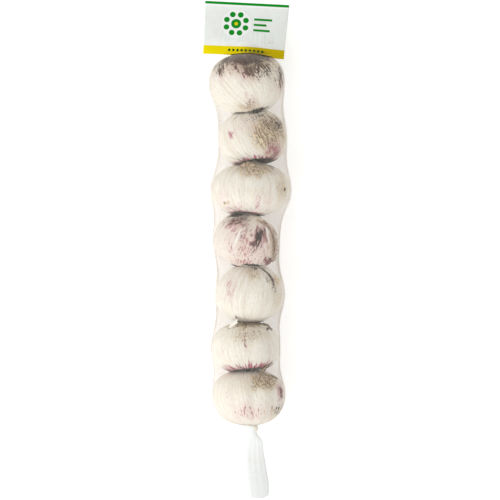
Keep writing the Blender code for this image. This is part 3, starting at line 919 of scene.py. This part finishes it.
def skin_material():
    made, nodes, inputs = blank_material("garlic_skin")
    times = nodes.times
    place = nodes.scaled(nodes.add("ShaderNodeTexCoord").outputs["Object"], (1000.0, 1000.0, 1000.0))
    round_it = nodes.add("ShaderNodeAttribute", attribute_name="streaks").outputs["Vector"]
    marks = nodes.add("ShaderNodeAttribute", attribute_name="marks")
    edges = nodes.add("ShaderNodeAttribute", attribute_name="edges")
    split = nodes.add("ShaderNodeSeparateColor", {0: marks.outputs["Color"]}).outputs
    soil, blush, tan, line = split["Red"], split["Green"], split["Blue"], marks.outputs["Alpha"]
    split = nodes.add("ShaderNodeSeparateColor", {0: edges.outputs["Color"]}).outputs
    gap_shade, spikes, pale = split["Red"], split["Green"], split["Blue"]
    sunk = nodes.add("ShaderNodeAttribute", attribute_name="sunk").outputs["Fac"]

    def grain(vector, factors, detail=3.0, roughness=0.55):
        """A noise whose values fill 0 to 1."""
        return spread(nodes.noise(vector, factors, detail, roughness), 0.3, 0.7)

    def blend(a, b, share):
        return nodes.plus(times(a, 1 - share), times(b, share))

    def spread(value, low, high):
        """A value with its range from low to high drawn out to 0 to 1."""
        return nodes.add("ShaderNodeMapRange", {0: value, 1: low, 2: high}).outputs[0]

    def part(value, low, high, full):
        return times(nodes.step(value, low, high), full)

    def over(amount, noise, low, high, full=1.0):
        """How far an amount stands over a noise."""
        return part(nodes.minus(amount, noise), low, high, full)

    def wash(amount, power, full):
        return times(nodes.math("POWER", amount, power, clamp=True), full)

    def shifted(amount, factor, start):
        return nodes.minus(times(amount, factor), start)

    def moved(vector, by):
        return nodes.add("ShaderNodeVectorMath", {0: vector, 1: by}).outputs[0]

    fine = grain(round_it, (1.3, 1.3, 0.07), detail=2.0)
    veins = grain(round_it, (0.62, 0.62, 0.04))
    dashes = grain(moved(round_it, (60.0, 7.0, 0.0)), (0.95, 0.95, 0.2), roughness=0.6)
    bands = grain(round_it, (0.2, 0.2, 0.02), detail=2.0)
    specks = grain(place, (0.8, 0.8, 0.8), detail=3.0, roughness=0.65)
    grit = grain(moved(place, (31.0, 5.0, 9.0)), (0.95, 0.95, 0.95), detail=2.0)
    clouds = grain(place, (0.14, 0.14, 0.14))
    mixed = spread(blend(dashes, specks, 0.5), 0.22, 0.78)
    strokes = spread(blend(dashes, specks, 0.25), 0.16, 0.84)

    spike = grain(moved(round_it, (9.0, 40.0, 0.0)), (0.6, 0.6, 0.012), detail=1.0)
    worn = nodes.mix(nodes.step(blend(grit, dashes, 0.72), 0.44, 0.54), WORN_AND_CREASE_SHADE, WORN_DARK)
    earth = nodes.mix(nodes.step(grit, 0.5, 0.95), EARTH, EARTH_LIGHT)
    earth = nodes.mix(over(blush, specks, -0.2, 0.3, 0.9), earth, RED_BROWN)
    covered = nodes.math("MINIMUM", shifted(soil, 0.9, 0.14), 0.84)
    layers = (
        (part(veins, 0.45, 1.0, 0.45), VEIN),
        (part(fine, 0.5, 1.0, 0.25), VEIN),
        (part(bands, 0.5, 1.0, 0.2), VEIN),
        (part(grit, 0.55, 0.75, 0.2), VEIN),
        (part(dashes, 0.55, 0.68, 0.3), VEIN),
        (wash(tan, 1.3, 0.3), GREY_TAN),
        (over(shifted(tan, 1.2, 0.15), strokes, -0.3, 0.35, 0.92), worn),
        (times(blush, 0.6), PINK),
        (over(shifted(blush, 1.1, 0.14), strokes, -0.08, 0.26, 0.8), PURPLE),
        (wash(soil, 1.2, 0.4), nodes.mix(clouds, DUST, OLIVE)),
        (over(covered, mixed, -0.14, 0.14), earth),
        # Painted crease shade: the clove valleys and wrinkles darkened.
        (part(sunk, 0.35, 0.95, 0.2), WORN_AND_CREASE_SHADE),
        (part(grit, 0.95, 1.0, 0.25), FRECKLE),
        (over(pale, times(specks, 0.5), 0.0, 0.4), PAPER_WHITE),
        (over(line, times(mixed, 0.8), 0.0, 0.4, 0.85), CRACK),
        (over(times(spikes, 0.62), spike, -0.03, 0.14, 0.9), MAGENTA),
        # Painted shade: near-black in the grooves between bulbs and in the root hollows.
        (over(gap_shade, times(mixed, 0.85), 0.0, 0.25), GAP_SHADOW),
    )
    colour = nodes.layered(CREAM, layers)
    height = nodes.minus(blend(veins, fine, 0.5), times(specks, 0.3))
    dress(nodes, inputs, colour, 0.55, height, 0.5, 0.0003)
    inputs["Specular IOR Level"].default_value = 0.3
    return made


# %% Build the seven bulbs
def bake_map(mesh, rows, count):
    """A UV map without overlaps: round the piece by down it, with its two ends in thin strips."""
    layer = mesh.uv_layers.new(name="OFBake")
    spots = []
    for face in mesh.polygons:
        ring = [(v % count, v // count) for v in face.vertices if v < rows * count]
        wraps = {0, count - 1} <= {j for j, _ in ring}
        rounds = [(count if wraps and j == 0 else j) / count for j, _ in ring]
        hub = [sum(rounds) / len(rounds)]
        for v in face.vertices:
            if v < rows * count:
                u = (count if wraps and v % count == 0 else v % count) / count
                spots += [u, (v // count + 1) / (rows + 1)]
            else:
                spots += hub + [float(v - rows * count)]
    layer.data.foreach_set("uv", spots)


def store(mesh, name, kind, field, values):
    attribute = mesh.attributes.new(name, kind, "POINT")
    attribute.data.foreach_set(field, np.ascontiguousarray(values, dtype=np.float32).ravel())


def store_looks(piece, index, shares, angles, falls, sunk):
    """Writes what the skin's material reads at each point."""
    blank = np.zeros((len(shares), 1))
    store(piece.data, "marks", "FLOAT_COLOR", "color", shares[:, :4])
    store(piece.data, "edges", "FLOAT_COLOR", "color", np.hstack([shares[:, 4:], blank]))
    streaks = np.column_stack([np.cos(angles), np.sin(angles), falls]) * STREAK_SCALE
    streaks[:, 2] += STREAKS_APART * index
    store(piece.data, "streaks", "FLOAT_VECTOR", "vector", streaks)
    store(piece.data, "sunk", "FLOAT", "value", sunk)


def bulb_piece(index, finish):
    bulb = BULBS[index]
    angle, fall, ways, reach, sunk = bulb_grid(bulb, 100 * index)
    points = middle(bulb) + (ways * reach[..., None]).reshape(-1, 3)
    points = inside_net(held_off(index, points), SKIN_CLEARANCE)
    rows, count = angle.shape
    rings = points.reshape(rows, count, 3)
    piece = closed_run(f"bulb_{index + 1}", rings, finish)
    falls = np.append(fall.ravel(), (0.0, math.pi))
    angles = np.append(angle.ravel(), (0.0, 0.0))
    shares = painted(index, capped(rings), angles, falls)
    store_looks(piece, index, shares, angles, falls, np.append(sunk.ravel(), (0.0, 0.0)))
    bake_map(piece.data, rows, count)
    return piece


skin = skin_material()
bulbs = [bulb_piece(i, skin) for i in range(len(BULBS))]
print("bulbs:", len(bulbs), "of", len(bulbs[0].data.polygons), "faces each")

# %% [markdown]
# Between the bulbs the photograph shows dark gaps, where each root's dried bristles stand. They are
# thin tapering tubes that start on the root's plate and lie along the bulb's underside, kept off the
# neighbour and inside the netting like the skins.

# %% Dried roots
BRISTLES = 90
BRISTLE_STEPS = 5
BRISTLE_RADIUS = 0.2


def root_material():
    """Dark brown, paler in places along each bristle."""
    made, nodes, inputs = blank_material("dry_root")
    place = nodes.add("ShaderNodeTexCoord").outputs["Object"]
    patches = nodes.noise(place, (700.0, 700.0, 700.0))
    shade = nodes.mix(nodes.step(patches, 0.45, 0.75), (0.025, 0.017, 0.012), (0.16, 0.11, 0.075))
    dress(nodes, inputs, shade, 0.8)
    return made


def tubes(paths, radius, sides=3):
    """Points and faces of closed thin tubes along paths, tapering towards their ends."""
    points, faces = [], []
    for path in paths:
        heading = path[-1] - path[0]
        side = unit(np.cross(heading, (0.31, 0.17, 0.93)))
        top = unit(np.cross(heading, side))
        first = len(points)
        for i, spot in enumerate(path):
            width = radius * (1 - 0.7 * i / (len(path) - 1))
            for k in range(sides):
                a = TURN * k / sides
                points.append(spot + (side * math.cos(a) + top * math.sin(a)) * width)
        faces += tube_faces(len(path), sides, first)
        last = first + (len(path) - 1) * sides
        faces += [tuple(range(first, first + sides)), tuple(range(last + sides - 1, last - 1, -1))]
    return points, faces


def bristle_paths(index):
    bulb = BULBS[index]
    dice = np.random.default_rng(900 + index)
    paths = []
    for _ in range(BRISTLES):
        angle, start = dice.uniform(0, TURN), dice.uniform(0.05, 0.6) * bulb["hollow"]
        spread, bend = dice.uniform(0.3, 1.0) * bulb["hollow"] + 0.12, dice.normal(0, 0.35)
        path = []
        for step in np.linspace(0, 1, BRISTLE_STEPS):
            fall = math.pi - start - spread * step
            way = pattern_ways(bulb, np.array(angle + bend * step**2), np.array(fall))
            sink = float(root_hollow(bulb, fall))
            lift = 0.2 - sink + dice.uniform(0.3, 1.0) * (0.4 + sink) * step
            path.append(middle(bulb) + way * (plain_reach(bulb, way) + lift))
        paths.append(path)
    return np.array(paths)


def roots_piece(index, finish):
    paths = bristle_paths(index)
    spots = paths.reshape(-1, 3)
    for other in BULBS[max(index - 1, 0) : index] + BULBS[index + 1 : index + 2]:
        arms = spots - middle(other)
        length = np.linalg.norm(arms, axis=1)
        ways = arms / length[:, None]
        spots = middle(other) + ways * np.maximum(length, plain_reach(other, ways) + 0.1)[:, None]
    spots = inside_net(spots, BRISTLE_RADIUS + 0.15).reshape(paths.shape)
    piece = make_piece(f"roots_{index + 1}", *tubes(spots, BRISTLE_RADIUS), finish)
    return outwards(piece)


dry_root = root_material()
roots = [roots_piece(i, dry_root) for i in range(len(BULBS))]
print("roots:", len(roots), "of", BRISTLES, "bristles each")

# %% [markdown]
# Scraps of dry outer skin stand off the bulbs where they press on each other: a tuft at a neck, torn
# edges along the shoulders, a flake that bridges two bulbs. Each is a thin wavy solid that follows a
# short path, as seen from above. It lies a little over the skin, under the netting and, in the gaps, no
# deeper than a few millimetres. Its rims are torn and brown.

# %% Torn scraps of skin
# Name, the bulb it comes from, its path and its width at both ends in mm, its soil, tan and pale shares.
SCRAPS = (
    ("tuft_3", 2, ((-5.6, 60.8), (-2, 61.8), (1.5, 62.6), (6.5, 60.4)), (2.4, 3.8), (0, 1.1, 0)),
    ("flap_4", 3, ((7, 22.3), (12.3, 20.6), (16.4, 16.4)), (1.6, 2.6), (0.45, 1, 0)),
    (
        "strip_4", 3, ((15.2, 18.1), (18.9, 13.1), (21, 5.8), (21, -0.7), (18.4, -8.4)),
        (2.4, 3.6), (0.35, 0.9, 0),
    ),
    ("crease_5", 4, ((9.9, -12.2), (15.2, -16), (18.6, -20.3), (19.4, -27.2)), (1, 1.7), (0.8, 1, 0)),
    ("torn_6a", 5, ((-8.4, -46.6), (-6.2, -50.6), (-2.2, -52.4), (3.6, -52.8)), (1.2, 2.2), (0.9, 1, 0)),
    ("torn_6b", 5, ((2.6, -52.6), (10.9, -52.3), (15.2, -53.5), (18.3, -57.6)), (1.8, 1.3), (0.9, 1, 0)),
    ("flake_6", 5, ((-12.8, -55), (-9.6, -52.4), (-6.2, -48.6)), (3.6, 2.6), (0, 0.4, 0.6)),
    ("flap_6", 5, ((9.8, -87.9), (13.8, -83.4), (18.8, -79.9)), (3.6, 0.5), (0.7, 0.9, 0)),
    ("torn_7", 6, ((13.4, -89), (18, -90.2), (22.2, -92.6)), (0.9, 1.6), (0.6, 1, 0)),
)
SCRAP_STEP, SCRAP_ACROSS = 0.45, 7
SCRAP_THICKNESS, SCRAP_LIFT, SCRAP_SINK = 0.16, 0.3, 6.0
RED_SCRAPS = (3,)


def sheet_faces(rows, count):
    """Quads of an open sheet of rows of points."""
    corners = [i * count + j for i in range(rows - 1) for j in range(count - 1)]
    return [(a, a + 1, a + count + 1, a + count) for a in corners]


def closed_sheet(name, grid, thickness, finish):
    """A thin closed piece: the grid on top, a copy below it and a rim round both."""
    rows, count = grid.shape[:2]
    size = rows * count
    points = np.vstack([grid.reshape(-1, 3), grid.reshape(-1, 3) - (0, 0, thickness)])
    faces = sheet_faces(rows, count)
    faces += [tuple(v + size for v in face[::-1]) for face in faces]
    starts = [i * count for i in range(rows)]
    rim = list(range(count)) + [a + count - 1 for a in starts[1:]]
    rim += [starts[-1] + j for j in range(count - 2, -1, -1)] + starts[-2:0:-1]
    faces += [(a, b, b + size, a + size) for a, b in zip(rim, rim[1:] + rim[:1])]
    return outwards(make_piece(name, points, faces, finish))


def resting_height(trees, x, y):
    """The height of the topmost skin under a place, or a little under the netting where there is none."""
    netting = straight_down(form_tree, x, y)
    ceiling = netting.z / MM - SKIN_CLEARANCE - 0.1 if netting else 30.0
    hits = [hit.z / MM for hit in (straight_down(tree, x, y) for tree in trees) if hit]
    floor_here = max(hits, default=0.0) + SCRAP_LIFT
    return min(max(floor_here, ceiling - SCRAP_SINK), ceiling)


def scrap_piece(scrap, trees, finish):
    name, index, path, widths, (soil, tan, pale) = scrap
    dice = np.random.default_rng(sum(map(ord, name)))
    path = np.array(path)
    run = run_along(path)
    at = np.linspace(0, run[-1], max(int(run[-1] / SCRAP_STEP), 8))
    spine = np.column_stack([np.interp(at, run, path[:, k]) for k in (0, 1)])
    for _ in range(4):
        spine = eased(spine)
    heading = unit(np.gradient(spine, axis=0))
    side = np.column_stack([-heading[:, 1], heading[:, 0]])
    ends = np.clip(np.sin(math.pi * (at + 0.1) / (run[-1] + 0.2)), 0, 1) ** 0.4
    width = np.interp(at, (0, run[-1]), widths) * ends
    torn = 1 + 0.65 * dice.uniform(-1, 1, (2, len(at)))
    grid = np.zeros((len(at), SCRAP_ACROSS, 3))
    for j, v in enumerate(np.linspace(-1, 1, SCRAP_ACROSS)):
        reach = v * width / 2 * (torn[0] if v > 0 else torn[1])
        spots = spine + side * reach[:, None]
        for i, (x, y) in enumerate(spots):
            grid[i, j] = x, y, resting_height(trees, x, y) - 0.15 * math.sin(i * 0.9 + j)
    grid[1:-1, :, 2] = (grid[:-2, :, 2] + grid[1:-1, :, 2] + grid[2:, :, 2]) / 3
    piece = closed_sheet(f"scrap_{name}", grid, SCRAP_THICKNESS, finish)
    count = len(at) * SCRAP_ACROSS
    rims = np.tile(np.abs(np.linspace(-1, 1, SCRAP_ACROSS)), len(at)) ** 3
    shares = np.zeros((2 * count, len(KINDS)))
    browned = np.tile(soil + 0.6 * rims * (tan > 0.5), 2)
    blush = soil * (index in RED_SCRAPS)
    for kind, amount in (("soil", browned), ("blush", blush), ("tan", tan), ("pale", pale)):
        raise_share(shares, kind, amount)
    angles = np.tile(np.repeat(at, SCRAP_ACROSS) / STREAK_SCALE, 2)
    falls = np.tile(np.tile(np.arange(SCRAP_ACROSS), len(at)) / STREAK_SCALE, 2)
    store_looks(piece, index + 10, shares, angles, falls, np.zeros(2 * count))
    return piece


bulb_trees = [BVHTree.FromObject(bulb, bpy.context.evaluated_depsgraph_get()) for bulb in bulbs]
scraps = [scrap_piece(scrap, bulb_trees, skin) for scrap in SCRAPS]
print("scraps of skin:", len(scraps))

# %% [markdown]
# The header is one strip of film, folded at its far edge, with the netting's end between its two
# leaves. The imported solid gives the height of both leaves: rays from above and from below find them.
# One strip of points runs up the front leaf, round the fold and down the back leaf, and Solidify
# gives it a film's thickness on its inner side.

# %% Header film
HEADER_WIDTH, HEADER_REACH = 61.0, 39.6
HEADER_X, HEADER_Y, HEADER_TURN = -2.6, 142.5, -4.0
MOUTH_DROP, FOLD_RISE, FOLD_SWING, FOLD_WIDER = 0.9, 1.0, 0.55, 0.016
MOUTH_NARROWER = 0.035
TUCK_SIDE, TUCK_WIDTH, TUCK_REACH, TUCK_PUSH = 5.5, 34.0, 24.0, 0.9
FILM_THICKNESS = 0.2
FILM_ACROSS, LEAF_ROWS, FOLD_ROWS = 72, 44, 5
FOLD_RADIUS = 0.45
NET_CLEARANCE = 0.9
SHOULDER_STEPS = (0.0, -0.4, -0.8)
RIM = 0.05


def pushed(side, up):
    """How far the bulb pushes the mouth back at a place on the header."""
    beside = 1 - smooth(abs(side - TUCK_SIDE) / (TUCK_WIDTH / 2))
    return TUCK_PUSH * beside * (1 - smooth(up / TUCK_REACH))


def packed_spot(side, up):
    """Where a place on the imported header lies: side right of its middle, up from its mouth."""
    turn = math.radians(HEADER_TURN)
    up = up + pushed(side, up)
    side = side * (1 - MOUTH_NARROWER * (1 - smooth(up / HEADER_REACH)))
    x = HEADER_X + side * math.cos(turn) - up * math.sin(turn)
    return x, HEADER_Y + side * math.sin(turn) + up * math.cos(turn)


def header_spot(side, up):
    """Where the dressed film has that place: its mouth hangs lower and its fold is a little wider."""
    x, y = packed_spot(side, up)
    share = up / HEADER_REACH
    drop = MOUTH_DROP * (1 - share) - (FOLD_RISE + FOLD_SWING * side / (HEADER_WIDTH / 2)) * share
    return x + FOLD_WIDER * side * share, y - drop


film_tree = BVHTree.FromObject(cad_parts["header_film"], bpy.context.evaluated_depsgraph_get())


def leaf_height(side, up, face):
    """The height of the front leaf's outer face (1) or the back leaf's (-1) at a place on the header."""
    edge = HEADER_WIDTH / 2 - RIM
    x, y = packed_spot(min(max(side, -edge), edge), min(max(up, 3 * RIM), HEADER_REACH - RIM))
    start, way = Vector((x, y, 60.0 * face)) * MM, Vector((0, 0, -face))
    hit = film_tree.ray_cast(start, way)[0] or film_tree.find_nearest(start)[0]
    height = hit.z / MM
    x, y = header_spot(side, up)
    for step in SHOULDER_STEPS:
        netting = form_tree.ray_cast(Vector((x, y + step, 60.0 * face)) * MM, way)[0]
        if netting is not None:
            height = max(height * face, netting.z / MM * face + NET_CLEARANCE) * face
    return height


def film_rows():
    """Rows of (up, face share, run): 1 on the front leaf, -1 on the back one and between round the fold."""
    last = HEADER_REACH - FOLD_RADIUS
    ups = np.linspace(0, last, LEAF_ROWS)
    rows = [(up, 1.0, up) for up in ups]
    for i in range(1, FOLD_ROWS + 1):
        a = math.pi * i / (FOLD_ROWS + 1)
        reach = last + FOLD_RADIUS * math.sin(a)
        rows.append((reach, math.cos(a), HEADER_REACH + (i / (FOLD_ROWS + 1) - 0.5) * 2 * FOLD_RADIUS))
    return rows + [(up, -1.0, 2 * HEADER_REACH - up) for up in ups[::-1]]


def crinkle(side, up):
    """The film's slight waves, in millimetres."""
    waves_here = math.sin(side * 0.31 + 1.3 * math.sin(up * 0.16)) * math.sin(up * 0.23 + 0.8)
    return 0.10 * waves_here + 0.05 * math.sin(side * 0.83 + up * 0.37)


def film_piece(finish):
    rows = film_rows()
    sides = np.linspace(-HEADER_WIDTH / 2, HEADER_WIDTH / 2, FILM_ACROSS + 1)
    points, plan_spots = [], []
    for up, face, run in rows:
        for side in sides:
            x, y = header_spot(side, up)
            upper, lower = (leaf_height(side, up, f) for f in (1, -1))
            z = (upper + lower) / 2 + (upper - lower) / 2 * face
            inward = 0.2 + crinkle(side, up)
            points.append((x, y, max(z - inward * face, 0.0)))
            shift = pushed(side, up) * (1.0 if run < HEADER_REACH else -1.0)
            plan_spots.append((side / HEADER_WIDTH + 0.5, (run + shift) / (2 * HEADER_REACH)))
    faces = sheet_faces(len(rows), len(sides))
    piece = make_piece("header_sheet", points, faces, finish)
    layer = piece.data.uv_layers.new(name="OFBake")
    layer.data.foreach_set("uv", [c for f in faces for v in f for c in plan_spots[v]])
    wall = piece.modifiers.new("thickness", "SOLIDIFY")
    wall.thickness = FILM_THICKNESS * MM
    wall.offset = -1.0
    return piece


# %% [markdown]
# The print is made of fields of colour and simple shapes that nodes draw from the film's own map: a
# green strip along the fold, a white line, a pale panel, a yellow band at the mouth, and a rosette of
# dots beside plain bars. Distances are worked out in millimetres, so every shape has its size in the
# list of values. The yellow band also carries painted shade, which is no print: it darkens towards the
# right, and most next to the top bulb at the mouth.

# %% Print on the film
GREEN = (0.0, 0.26, 0.012)
DARK_GREEN = (0.015, 0.075, 0.012)
YELLOW = (0.79, 0.65, 0.0)
PANEL = (0.86, 0.89, 0.85)
# The olive yellow and the band's dark shade are painted shade on the yellow band.
SHADED_YELLOW, BAND_SHADE = (0.58, 0.44, 0.0), (0.20, 0.135, 0.01)
PANEL_SHADE, HALO, LINE_WHITE = (0.83, 0.84, 0.80), (0.92, 0.93, 0.91), (0.93, 0.93, 0.92)
SHOWN_THROUGH, FAINT_BROWN = (0.62, 0.76, 0.73), (0.50, 0.36, 0.34)
BAND_TOP = 6.2
GREEN_FROM, WHITE_FROM = 37.75, 36.5
ROSETTE = (-7.0, 23.5)
DOT_RING, DOT_RADIUS, DISC_RADIUS, HALO_RADIUS = 7.6, 2.1, 3.7, 10.9
BARS = ((12.5, 27.6, 6.6), (10.6, 23.4, 4.7), (12.0, 19.2, 6.1))
BAR_HALF = 0.85
BEAD_GAP, BEAD_UP, BEAD_RADIUS, BEADS_MIDDLE, BEADS_HALF = 3.1, 3.4, 0.95, 1.55, 13.95
EYE_RADIUS = 1.3


def print_material():
    made, nodes, inputs = blank_material("printed_film")
    plus, minus, times = nodes.plus, nodes.minus, nodes.times

    def size(value):
        return nodes.math("ABSOLUTE", value)

    def beyond(value, limit, soft=0.06):
        return nodes.step(minus(value, limit), -soft, soft)

    def within(value, centre, half):
        return beyond(half, size(minus(value, centre)))

    def cloudy(factors, detail, low, high):
        """Soft patches of noise in millimetres across and up."""
        return nodes.step(nodes.noise(mm_place, (*factors, 1.0), detail), low, high)

    def block(across, half_across, height, half_height):
        """1 inside an upright rectangle."""
        return times(within(side, across, half_across), within(up, height, half_height))

    def far(x, y):
        return nodes.math("SQRT", plus(times(x, x), times(y, y)))

    flat = nodes.add("ShaderNodeUVMap", uv_map="OFBake").outputs[0]
    flat = nodes.add("ShaderNodeSeparateXYZ", {0: flat}).outputs
    side = times(minus(flat["X"], 0.5), HEADER_WIDTH)
    up = minus(HEADER_REACH, size(minus(times(flat["Y"], 2 * HEADER_REACH), HEADER_REACH)))
    mm_place = nodes.add("ShaderNodeCombineXYZ", {"X": side, "Y": up}).outputs[0]

    ghost = times(cloudy((0.55, 0.03), 3.0, 0.5, 0.6), block(1.0, 21.0, 14.0, 4.5))
    flecks = times(cloudy((0.9, 0.6), 2.0, 0.55, 0.65), block(17.5, 5.5, 9.6, 1.6))

    x, y = minus(side, ROSETTE[0]), minus(up, ROSETTE[1])
    away = far(x, y)
    angle = nodes.math("DIVIDE", nodes.math("ARCTAN2", y, x), TURN / 8)
    off = times(minus(nodes.math("FRACT", plus(angle, 8.0)), 0.5), TURN / 8)
    squares = plus(times(away, away), DOT_RING**2)
    to_dot = minus(squares, times(times(away, 2 * DOT_RING), nodes.math("COSINE", off)))
    shapes = nodes.math("MAXIMUM", beyond(DOT_RADIUS, nodes.math("SQRT", to_dot)), beyond(DISC_RADIUS, away))
    for centre, height, half in BARS:
        shapes = nodes.math("MAXIMUM", shapes, block(centre, half, height, BAR_HALF))

    # Painted shade on the yellow band: darker towards the right, darkest next to the top bulb at the mouth.
    cloud = nodes.noise(mm_place, (0.12, 0.12, 1.0), detail=2.0)
    shade = nodes.step(plus(side, times(cloud, 6.0)), -4.0, 20.0)
    yellow = nodes.mix(times(shade, 0.9), YELLOW, SHADED_YELLOW)
    bulge = nodes.step(minus(14.0, size(minus(side, 9.0))), 0.0, 12.0)
    under = times(bulge, nodes.step(minus(4.6, up), -1.5, 3.5))
    yellow = nodes.mix(times(under, 0.75), yellow, BAND_SHADE)
    spaced = nodes.math("FRACT", nodes.math("DIVIDE", plus(side, 20 * BEAD_GAP), BEAD_GAP))
    bead = far(times(minus(spaced, 0.5), BEAD_GAP), minus(up, BEAD_UP))
    beads = times(beyond(BEAD_RADIUS, bead), within(side, BEADS_MIDDLE, BEADS_HALF))

    layers = (
        (cloudy((0.12, 0.12), 2.0, 0.35, 0.7), PANEL_SHADE),
        (times(ghost, 0.35), SHOWN_THROUGH),
        (times(flecks, 0.35), FAINT_BROWN),
        (beyond(HALO_RADIUS, away), HALO),
        (shapes, GREEN),
        (beyond(EYE_RADIUS, away), YELLOW),
        (beyond(BAND_TOP, up, 0.08), yellow),
        (beads, DARK_GREEN),
        (beyond(up, WHITE_FROM, 0.08), LINE_WHITE),
        (beyond(up, GREEN_FROM, 0.08), GREEN),
    )
    ripples = nodes.noise(mm_place, (0.35, 0.22, 1.0))
    dress(nodes, inputs, nodes.layered(PANEL, layers), 0.42, ripples, 0.35, 0.0006)
    inputs["Specular IOR Level"].default_value = 0.06
    return made


film = film_piece(print_material())
print("film:", len(film.data.polygons), "faces before its thickness")

# %% [markdown]
# Every piece rides on the one body. All but the film stand for the imported netting, which is hidden,
# and the film stands for the imported header. The size after dressing is printed.

# %% Ride, replace and finish
for piece in net_threads + bunches:
    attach(piece, "root")
    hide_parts("net_of_bulbs")
for piece in bulbs + roots + scraps:
    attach(piece, "root")
    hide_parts("net_of_bulbs")
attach(film, "root")
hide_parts("header_film")

low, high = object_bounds()
print("visual size in mm:", [round((b - a) / MM, 1) for a, b in zip(low, high)])
